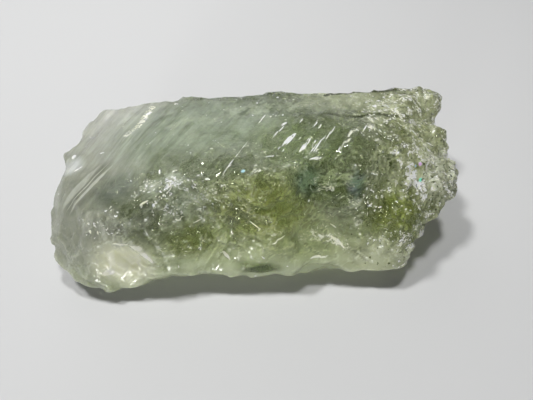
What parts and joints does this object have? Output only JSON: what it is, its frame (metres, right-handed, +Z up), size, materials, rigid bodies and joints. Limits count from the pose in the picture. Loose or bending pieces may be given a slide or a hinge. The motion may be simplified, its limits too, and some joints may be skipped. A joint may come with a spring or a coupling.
{
  "type": "rough green quartz crystal",
  "caption": "Rough piece of pale green quartz: a slab with one prism-lined crystal face, shell-like broken faces and a grainy end, resting on a flat sole.",
  "frame": {"origin": "on the ground under the middle of the stone's bounding box", "axes": "+X along the stone's length towards its grainy end, +Y towards its tall broken back, +Z up from the flat sole"},
  "size_m": [0.078, 0.041, 0.023],
  "materials": {
    "green_quartz": "clear to milky pale green quartz with a vitreous lustre; greyer and paler at the left end, yellow-green in the middle and at the right"
  },
  "bodies": {
    "root": {"green_quartz": "green_quartz"}
  },
  "joints": []
}
